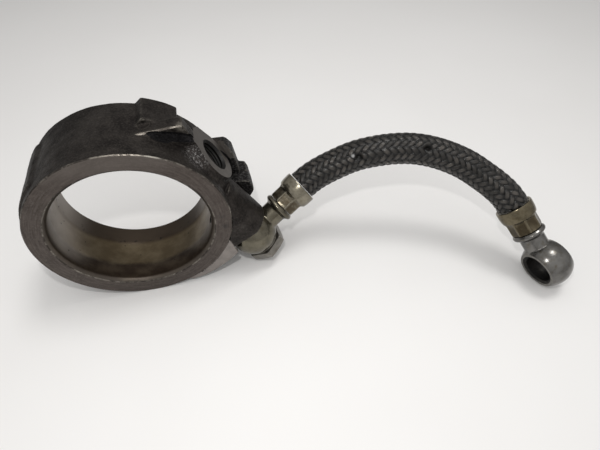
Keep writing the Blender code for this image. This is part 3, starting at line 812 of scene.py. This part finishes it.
# %% Feed drilling and port thread
feed_angle = math.radians(-9.0)
feed_way = Vector((math.cos(feed_angle), 0, math.sin(feed_angle)))
FEED_DEPTH = 0.0076
feed_frame = frame_at(DEPTH * FEED_DEPTH, feed_way, DEPTH)
machine(cylinder("feed", 0.0034, 0.0250, 0.0365, feed_frame), HOLE)
GROOVES = 6
GROOVE_PITCH = 0.0010
port_floor = PORT_OUT - 0.0076
thread = [(0, port_floor - 0.0012), (0.0052, port_floor)]
for i in range(GROOVES):
    low = port_floor + 0.0002 + i * GROOVE_PITCH
    thread += [(0.0057, low), (0.0062, low + 0.0005)]
thread += [(0.0058, PORT_OUT - 0.0010), (0.0067, PORT_OUT + 0.0001), (0.0067, 0.060), (0, 0.060)]
machine(turned("port_thread", thread, PORT_FRAME), HOLE)
print("feed drilling at", round(math.degrees(feed_angle)), "degrees, port thread of", GROOVES,
      "grooves")

# %% [markdown]
# ## Hollows and rubbed edges
# A hollow is cut by an egg shaped tool, a round arc spun and then stretched by its frame.
# A rubbed edge is a thin square bar laid along it: what it takes off leaves a narrow flat
# that catches the light.


# %% Hollows and rubbed edges
def scoop(centre, along, sizes, lean=0.0):
    """Hollows the casting with an egg shaped tool that leaves painted shade.

    The sizes are its deep, wide and long halves.  A lean fattens the end it points to.
    """
    place = frame_at(Vector(centre), Vector(along), DEPTH) @ Matrix.Diagonal((*sizes, 1))
    egg = [(x * (1 + lean * z), z) for x, z in arc(0, 0, 1, -90, 90, 24)]
    machine(turned("scoop", egg, place, around=64), SHADED)


def rub_edge(start, end, half):
    """Takes a thin bright strip off a straight edge between two points."""
    start, end = Vector(start), Vector(end)
    corners = [(half, 0), (0, half), (-half, 0), (0, -half)]
    machine(slab("rub", corners, 0, (end - start).length, frame_at(start, end - start, DEPTH)), RIM)


# Both hollows take the painted shade skin from their cutters.
scoop((0.0212, 0.0106, 0.0333), (0.945, 0, -0.327), (0.0034, 0.0020, 0.0094), 0.38)
scoop((0.0392, 0.0222, 0.0118), (0.30, 0, -0.95), (0.0012, 0.0013, 0.0048))
rub_edge((0.0090, 0.0114, 0.0358), (0.0256, 0.0114, 0.0371), 0.00056)
rub_edge((0.0256, 0.0114, 0.0371), (0.0289, 0.0114, 0.0298), 0.00038)

# %% [markdown]
# ## Wear
# Corners that stand out lose their skin first.  How far each vertex stands out from its
# neighbours is worked out once and stored in the mesh, and the materials read it.


# %% Wear
RUBBED_FROM = 0.05


def mark_wear(thing, gain):
    """Stores how far each corner stands out, so that the material can rub it bright."""
    mesh = thing.data
    count = len(mesh.vertices)
    place = np.empty(count * 3)
    mesh.vertices.foreach_get("co", place)
    place = place.reshape(-1, 3)
    normal = np.empty(count * 3)
    mesh.vertices.foreach_get("normal", normal)
    normal = normal.reshape(-1, 3)
    edges = np.empty(len(mesh.edges) * 2, int)
    mesh.edges.foreach_get("vertices", edges)
    first, second = edges.reshape(-1, 2).T
    gap = place[second] - place[first]
    size = np.linalg.norm(gap, axis=1) + 1e-9
    lean = np.einsum("ij,ij->i", gap, normal[first]) / size
    back = np.einsum("ij,ij->i", -gap, normal[second]) / size
    total = np.bincount(first, lean, count) + np.bincount(second, back, count)
    links = np.bincount(first, minlength=count) + np.bincount(second, minlength=count)
    wear = -total / np.maximum(links, 1)
    for _ in range(2):
        spread = np.bincount(first, wear[second], count) + np.bincount(second, wear[first], count)
        wear = (wear + spread) / (1 + np.maximum(links, 1))
    wear = np.clip((wear - RUBBED_FROM) * gain, 0, 1)
    layer = mesh.attributes.new("wear", "FLOAT", "POINT")
    layer.data.foreach_set("value", wear)


mark_wear(casting, 6.0)
settle(casting, "ring_casting", angle=30.0)

# %% [markdown]
# ## Fitting finishes
# The banjos and ferrules are plated steel, satin rather than polished, with a faint olive
# cast from the plating and brown film where oil has dried in the corners.  Roughness varies
# more than colour does: that is what makes a bright spot break up as it crosses the metal.


# %% Fitting materials
def steel_material(name, origin, along, colour, roughness, film_share):
    """Plated steel turned about an axis, with faint tool rings and dried oil."""
    g = material(name)
    height = g.axis(origin, along)
    rings = g.noise(1.0, 2.0, 0.5, where=g.join(height * 4300.0, 0.0, 0.0))
    patch = g.noise(230.0, 4.0, 0.6)
    fine = g.noise(1900.0, 3.0, 0.7)
    dark = tuple(value * 0.62 for value in colour[:3]) + (1,)
    base = g.mix(g.step(patch, 0.26, 0.72), dark, colour)
    film = g.step(g.noise(420.0, 4.0, 0.7), 0.46, 0.78)
    base = g.mix(film * film_share, base, (0.070, 0.055, 0.030, 1))
    # Dried oil stayed on the flats the jaws pressed, and wore off the ridges between.
    pressed = g.attribute("pressed") * g.step(patch, 0.80, 0.44)
    base = g.mix(pressed * 0.90, base, (0.052, 0.040, 0.024, 1))
    rubbed = g.attribute("wear")
    base = g.mix(rubbed * 0.6, base, (0.42, 0.40, 0.355, 1))
    return g.finish(base_color=base,
                    roughness=g.step(patch, 0.3, 0.7, roughness + 0.09, roughness),
                    metallic=0.92, normal=g.bump(rings * 0.6 + fine, 0.00003, 0.5))


RING_STEEL = steel_material("ring_banjo_steel", RING_EYE, RING_NECK,
                            (0.165, 0.150, 0.115, 1), 0.18, 0.55)
RING_SLEEVE = steel_material("ring_ferrule_steel", RING_EYE, RING_NECK,
                             (0.265, 0.242, 0.190, 1), 0.17, 0.7)
FREE_STEEL = steel_material("free_banjo_steel", FREE_EYE, FREE_NECK,
                            (0.185, 0.180, 0.172, 1), 0.17, 0.75)
FREE_SLEEVE = steel_material("free_ferrule_steel", FREE_EYE, FREE_NECK,
                             (0.175, 0.149, 0.100, 1), 0.20, 0.8)
BOLT_STEEL = steel_material("bolt_steel", RING_EYE, DOWN, (0.215, 0.202, 0.182, 1), 0.30, 0.6)
WASHER_STEEL = steel_material("washer_steel", RING_EYE, DOWN, (0.16, 0.15, 0.13, 1), 0.45, 0.8)
print("fitting materials made")

# %% [markdown]
# ## The banjos
# Each banjo is one forging: a ball drilled flat to flat, a short neck and a collar bead.
# The ball and neck are turned apart, melted together so that the neck runs into the ball
# with a small fillet, and only then faced and drilled, because those edges are cut crisp.


# %% Banjos
FORGED_VOXEL = 0.00022


def add_banjo(name, node, centre, eye_axis, neck, steel):
    """Builds one banjo round its eye's centre, with the neck pointing at the hose."""
    ball = arc(0, 0, EYE_RADIUS, -90, 90, 48)
    neck_outline = [(0, 0.0060), (0.0052, 0.0060), (0.0052, 0.0138), (0.0056, 0.0142),
                    (0.0062, 0.0146)] + arc(0.0060, 0.0157, 0.0010, -80, 60, 10) + [
                    (0.0065, 0.0167), (0.0064, COLLAR_END), (0, COLLAR_END)]
    across = frame_at(centre, eye_axis, neck)
    along = frame_at(centre, neck, eye_axis)
    banjo = dress(join(name, [turned("ball", ball, across, around=96),
                              turned("neck", neck_outline, along, around=96)]), steel)
    cast_skin(banjo, FORGED_VOXEL, 3)
    tools = [turned("eye_hole", [(0, -0.02), (0.0071, -0.02), (0.0071, -EYE_HALF),
                                 (HOLE_RADIUS, -EYE_HALF + 0.0008),
                                 (HOLE_RADIUS, EYE_HALF - 0.0008), (0.0071, EYE_HALF),
                                 (0.0071, 0.02), (0, 0.02)], across, around=96)]
    for low, high in ((-0.02, -EYE_HALF), (EYE_HALF, 0.02)):
        tools.append(cylinder("eye_face", 0.0110, low, high, across, around=64))
    tools.append(cylinder("passage", PASSAGE, 0, 0.02, along, around=32))
    for tool, finish in zip(tools, (HOLE, steel, steel, HOLE)):
        boolean(banjo, dress(tool, finish))
    stem = turned("stem", [(PASSAGE, 0.0160), (0.0030, 0.0160), (0.0030, MOUTH - 0.0005),
                           (PASSAGE, MOUTH - 0.0005)], along, around=48)
    boolean(banjo, dress(stem, steel), "UNION")
    mark_wear(banjo, 5.0)
    return settle(banjo, node)


add_banjo("ring_banjo", "ring_end_banjo", RING_EYE, DOWN, RING_NECK, RING_STEEL)
free_banjo = add_banjo("free_banjo", "free_end_banjo", FREE_EYE, FREE_AXIS, FREE_NECK,
                       FREE_STEEL)

# %% [markdown]
# ## Wrapping a grid
# The ferrules and the braid both start as a flat grid that is wrapped round an axis, and a
# formula says where each of its points goes.


# %% Wrapping a grid
def wrap(name, around, along, shape):
    """Wraps a grid round an axis: shape(turn, way) gives a point, both from 0 to 1."""
    bpy.ops.object.select_all(action="DESELECT")
    bpy.ops.mesh.primitive_grid_add(x_subdivisions=around, y_subdivisions=along, size=1.0)
    thing = bpy.context.object
    thing.name = name
    for vertex in thing.data.vertices:
        vertex.co = shape(vertex.co.x + 0.5, vertex.co.y + 0.5)
    return thing


def ease(value, low, high):
    """0 below low, 1 above high and smooth between."""
    t = min(max((value - low) / (high - low), 0), 1)
    return t * t * (3 - 2 * t)


print("wrapping is ready")

# %% [markdown]
# ## The ferrules
# A ferrule starts as a plain sleeve and is squeezed by eight jaws: flats appear where they
# press and narrow ridges where metal escapes between them, while the bell over the hose
# stays round.  The mesh does the same: its radius is pressed in where a jaw would be.

# %% Ferrules
JAWS = 8
JAW_FLAT = 0.0060
RIDGE_HEIGHT = 0.00030
FERRULE_LOW = COLLAR_END + SEATED_GAP
FERRULE_SHAPE = [  # height, radius, how hard the jaws pressed
    (FERRULE_LOW, 0.0034, 0.0), (FERRULE_LOW, 0.0060, 0.3), (FERRULE_LOW + 0.0001, 0.0064, 0.8),
    (FERRULE_LOW + 0.0004, 0.0065, 0.9), (0.0182, 0.00655, 1.0), (0.0200, 0.00655, 1.0),
    (0.0216, 0.00655, 1.0), (0.0226, 0.00662, 0.8), (0.0232, 0.00692, 0.3),
    (0.0238, 0.00730, 0.0), (0.0246, 0.00752, 0.0), (0.0258, 0.00768, 0.0),
    (0.0270, 0.00775, 0.0), (0.0282, 0.00776, 0.0), (0.0290, 0.00772, 0.0),
    (0.0293, 0.00760, 0.0),
    (0.0293, 0.00690, 0.0), (0.0288, 0.00655, 0.0), (0.0284, 0.0034, 0.0),
    (FERRULE_LOW, 0.0034, 0.0)]


def add_ferrule(name, node, centre, neck, eye_axis, steel):
    """Builds one ferrule along a neck, with a flat turned towards the eye's axis."""
    last = len(FERRULE_SHAPE) - 1
    flats = []

    def shape(turn, way):
        place = way * last
        i = min(int(place), last - 1)
        t = place - i
        height, radius, press = (a + (b - a) * t
                                 for a, b in zip(FERRULE_SHAPE[i], FERRULE_SHAPE[i + 1]))
        angle = turn * math.tau
        pitch = math.tau / JAWS
        side = (angle + pitch / 2) % pitch - pitch / 2
        jaw = JAW_FLAT / math.cos(side)
        ridge = 1 - ease(pitch / 2 - abs(side), 0.02, 0.09)
        pressed = min(radius, jaw + RIDGE_HEIGHT * ridge)
        radius += (pressed - radius) * press
        flats.append(press * (1 - ridge))
        return Vector((radius * math.cos(angle), radius * math.sin(angle), height))

    ferrule = wrap(name, 192, last * 5, shape)
    layer = ferrule.data.attributes.new("pressed", "FLOAT", "POINT")
    layer.data.foreach_set("value", flats)
    clean(ferrule)
    ferrule.data.transform(frame_at(centre, neck, eye_axis))
    mark_wear(dress(ferrule, steel), 1.6)
    return settle(ferrule, node, angle=40.0)


add_ferrule("ring_ferrule", "ring_end_ferrule", RING_EYE, RING_NECK, DOWN, RING_SLEEVE)
free_ferrule = add_ferrule("free_ferrule", "free_end_ferrule", FREE_EYE, FREE_NECK,
                           FREE_AXIS, FREE_SLEEVE)

# %% [markdown]
# ## Bolt and washers
# The hexagon is a turned disc with its chamfer already on it, cut to six sides: the chamfer
# then leaves the curved corner shoulders that every real bolt head has.

# %% Bolt
HEAD_DOWN = EYE_DOWN + EYE_HALF + 2 * SEATED_GAP + WASHER
FLATS = 0.016
CORNER = FLATS / 2 / math.cos(math.pi / 6)
HEAD_TOP = HEAD_DOWN + 0.0042
HEAD_TURN = 24
head = turned("head", [(0, HEAD_DOWN), (CORNER - 0.0004, HEAD_DOWN),
                       (CORNER, HEAD_DOWN + 0.0003), (CORNER, HEAD_TOP - 0.0006),
                       (CORNER - 0.0012, HEAD_TOP - 0.0001), (CORNER - 0.0016, HEAD_TOP),
                       (0.0045, HEAD_TOP), (0.0042, HEAD_TOP - 0.0003),
                       (0, HEAD_TOP - 0.0003)], BOLT_FRAME)
corners = arc(0, 0, CORNER, HEAD_TURN, HEAD_TURN + 300, 5)
boolean(head, slab("sides", corners, 0.02, 0.06, BOLT_FRAME), "INTERSECT", "EXACT")
shank = turned("shank", [(0, 0.0254), (0.0053, 0.0254), (0.0057, 0.0258),
                         (0.0057, HEAD_DOWN + 0.001), (0, HEAD_DOWN + 0.001)], BOLT_FRAME)
boolean(head, shank, "UNION", "EXACT")
head.name = "hex_bolt"
apply_step(head, "BEVEL", width=0.00022, segments=2, limit_method="ANGLE",
           angle_limit=math.radians(35))
mark_wear(dress(head, BOLT_STEEL), 1.5)
settle(head, "banjo_bolt")

# %% [markdown]
# ## Sealing washers
# Thin rings with a slightly rounded rim seal the eye on both sides.  Only their edges show.


# %% Washers
def add_washer(name, node, down):
    """Builds one washer, down being the depth of its middle along the bolt."""
    half = WASHER / 2
    outline = [(HOLE_RADIUS, down - half), (0.0077, down - half),
               (0.0079, down - half + 0.0002), (0.0079, down + half - 0.0002),
               (0.0077, down + half), (HOLE_RADIUS, down + half)]
    washer = turned(name, outline, BOLT_FRAME, around=96)
    mark_wear(dress(washer, WASHER_STEEL), 1.0)
    return settle(washer, node)


add_washer("washer_inner", "inner_sealing_washer", SEAT_DOWN + SEATED_GAP + WASHER / 2)
add_washer("washer_outer", "outer_sealing_washer", HEAD_DOWN - SEATED_GAP - WASHER / 2)

# %% [markdown]
# ## The braided hose
# The braid is real relief, not paint.  Two families of flat yarns run round the hose in
# opposite screws and pass over two and under two, like twill cloth.  For each point of the
# tube the formula asks how high either family stands there and keeps the higher one; the
# yarn's own coordinates are stored with it, so the material can draw fibres along each yarn.

# %% Hose
YARNS = 14
YARN_PITCH = 0.0415
YARN_RELIEF = 0.00078
AROUND = 196
ALONG = 460
DENT_WIDTH = 0.0015
DENT_DEPTH = 0.0018
HOSE_DENTS = [Vector((0.0931, 0.0141, 0.0081)), Vector((0.1212, 0.0087, 0.0124))]
DENT_GLINT = Vector((0.0910, 0.0151, 0.0086))


def yarn_height(across, other, sign):
    """Height of one yarn's back: rounded across, and riding over two and under two."""
    side = 2 * (across % 1) - 1
    back = 1 - 0.9 * side**4
    ride = sign * math.cos((math.floor(across) + other - 1) * math.pi / 2)
    return 0.60 * back + 0.40 * ride


print("yarns each way", YARNS, "one turn in", round(YARN_PITCH * 1000, 1), "mm")

# %% [markdown]
# ## Frames along the hose
# The braid needs to know which way is "up" at each place along the line.  The direction is
# carried from one place to the next and only straightened, never chosen afresh, so the yarns
# don't twist by themselves.

# %% Frames along the hose
route = smooth_route(150)
steps = [0.0]
for a, b in zip(route, route[1:]):
    steps.append(steps[-1] + (b - a).length)
total = steps[-1]


def point_at(distance):
    """The hose line's point at a distance along it."""
    i = max(0, min(int(np.searchsorted(steps, distance)) - 1, len(route) - 2))
    return route[i].lerp(route[i + 1], (distance - steps[i]) / (steps[i + 1] - steps[i]))


frames = []
side = Vector((0, 0, 1))
for i in range(ALONG + 1):
    here = total * i / ALONG
    way = (point_at(min(here + 0.001, total)) - point_at(max(here - 0.001, 0))).normalized()
    side = (side - side.dot(way) * way).normalized()
    frames.append((point_at(here), side.copy(), way.cross(side)))

print("frames", len(frames), "over", round(total * 1000, 1), "mm")

# %% [markdown]
# ## Weaving the tube
# A grid is wrapped round the line, and each of its points is set to the height of the yarn
# that lies there.  Two knocks have dented the braid, and the tube is pressed in round them.

# %% Weaving the tube
OTHER_FAMILY = 40.5
yarn_marks = []


def braid(turn, way):
    """A point of the braid's surface, noting the yarn it lies on."""
    centre, side, third = frames[round(way * ALONG)]
    screw = YARNS * total * way / YARN_PITCH
    first, second = YARNS * turn + screw, YARNS * turn - screw
    high_first = yarn_height(first, second, 1)
    high_second = yarn_height(second, first, -1)
    lead = first if high_first >= high_second else second
    number = math.floor(lead) + (0 if high_first >= high_second else OTHER_FAMILY)
    high = max(high_first, high_second)
    yarn_marks.append((lead % 1, total * way * 1000, number, high))
    radius = HOSE_RADIUS - YARN_RELIEF * (1 - max(high, 0))
    angle = turn * math.tau
    outward = side * math.cos(angle) + third * math.sin(angle)
    for point in HOSE_DENTS:
        away = (centre + outward * HOSE_RADIUS - point).length / DENT_WIDTH
        radius -= DENT_DEPTH * math.exp(-away * away)
    return centre + outward * radius


hose = wrap("hose_braid", AROUND, ALONG, braid)
for i, name in enumerate(("yarn_side", "yarn_far", "yarn_number", "yarn_high")):
    layer = hose.data.attributes.new(name, "FLOAT", "POINT")
    layer.data.foreach_set("value", [mark[i] for mark in yarn_marks])
clean(hose, fill=True)
print("braid", len(hose.data.polygons), "faces")

# %% [markdown]
# ## Yarn finish
# Each yarn is a bundle of black fibres with a dull sheen on its back, partly painted as lighter
# crowns.  Fibres are noise drawn out along the yarn, and the gaps between the yarns are painted
# nearly black, painted shade.


# %% Yarn finish
def braid_material():
    """Black yarns drawn from the coordinates stored while weaving."""
    g = material("hose_yarn")
    side = g.attribute("yarn_side")
    far = g.attribute("yarn_far")
    number = g.attribute("yarn_number")
    high = g.attribute("yarn_high")
    fibre = g.noise(1.0, 3.0, 0.7, where=g.join(side * 9.0, far * 0.35, number * 3.7))
    yarn = g.noise(1.0, 2.0, 0.5, where=g.join(far * 0.12, number * 5.3, 0.0))
    crown_sheen = g.step(high, 0.66, 1.0)
    base = g.mix(g.step(fibre, 0.35, 0.68), grey(0.002, 0.14), grey(0.007, 0.14))
    # Painted sheen: the yarns' crowns are painted lighter.
    base = g.mix(crown_sheen * g.step(yarn, 0.36, 0.66, 0.12, 0.62), base, grey(0.090, 0.12))
    # Painted shade: the gaps between the yarns are painted nearly black.
    base = g.mix(g.step(high, 0.74, 0.44) * 0.95, base, grey(0.0015))
    # Painted shade: the dents are painted near black.
    for point in HOSE_DENTS:
        base = g.mix(g.step(g.far(point), 0.0024, 0.0012), base, grey(0.001))
    # A painted glint beside the first dent.
    base = g.mix(g.step(g.far(DENT_GLINT), 0.0013, 0.0004) * 0.8, base, grey(0.42))
    return g.finish(base_color=base, roughness=g.step(yarn, 0.3, 0.7, 0.42, 0.20),
                    metallic=0.0, specular=0.34, normal=g.bump(fibre, 0.00014, 0.8))


dress(hose, braid_material())
settle(hose, "braided_hose", angle=60.0)
tuple(hose_path[0])
[tuple(point) for point in hose_path]

# %% [markdown]
# ## The table
# The part lies on a pale matt table.  Its colour is painted darker away from the part, a
# painted fall-off of the light.

# %% Table
bpy.ops.mesh.primitive_plane_add(size=4.0, location=(0, 0, 0))
table = bpy.context.object
table.name = "table"
g = material("table_top")
away = g.far(Vector((0.05, -0.02, 0)))
pale = g.mix(g.step(g.noise(9.0, 3.0, 0.5), 0.3, 0.7), (0.832, 0.824, 0.818, 1),
             (0.850, 0.844, 0.839, 1))
# Painted fall-off of the light: darker with distance from the part.
g.finish(base_color=g.mix(g.step(away, 0.05, 0.60), pale, (0.48, 0.475, 0.472, 1)),
         roughness=0.62, specular=0.3)
dress(table, g.owner)
print("table at height", table.location.z)

# %% [markdown]
# ## Light and room
# Most light comes from a wide pale ceiling.  The crisp shadow edge under the hose and the
# bright patch inside the ring belong to one small lamp: lines drawn back from both meet 5 cm
# above the lens, so it is the phone's own.  The soft second band is a ceiling lamp's.  Dark
# metal shows mostly what it reflects, so the room matters as much as the lamps: bright
# overhead, dim at the far wall.


# %% Light and room
def area_light(name, place, aim, size, power, colour):
    """A soft square light turned towards a point."""
    bpy.ops.object.light_add(type="AREA", location=place)
    lamp = bpy.context.object
    lamp.name = name
    lamp.data.size = size
    lamp.data.energy = power
    lamp.data.color = colour
    lamp.rotation_euler = (Vector(aim) - Vector(place)).to_track_quat("-Z", "Y").to_euler()
    return lamp


area_light("phone_lamp", Vector((0.0243, -0.1063, 0.1797)) + RIG, (0.03, 0.02, 0), 0.009,
           0.125, (1.0, 0.99, 0.97))
area_light("ceiling_lamp", (0.30, 0.10, 1.10), (0.05, 0, 0), 0.30, 3.2, (1.0, 0.99, 0.97))
world = bpy.data.worlds.new("pale_room")
g = Graph(world, place="Generated")
north = g.node("ShaderNodeSeparateXYZ", {}, {0: g.place}, output="Y")
height = g.node("ShaderNodeSeparateXYZ", {}, {0: g.place}, output="Z")
glow = g.math("MAXIMUM", height * 0.52 + 0.345 - north * 0.25, 0.09)
background = g.tree.nodes["Background"]
g.feed(background.inputs["Color"], (1.0, 0.99, 0.975, 1))
g.feed(background.inputs["Strength"], glow)
bpy.context.scene.world = world
bpy.context.scene.view_settings.view_transform = "Standard"
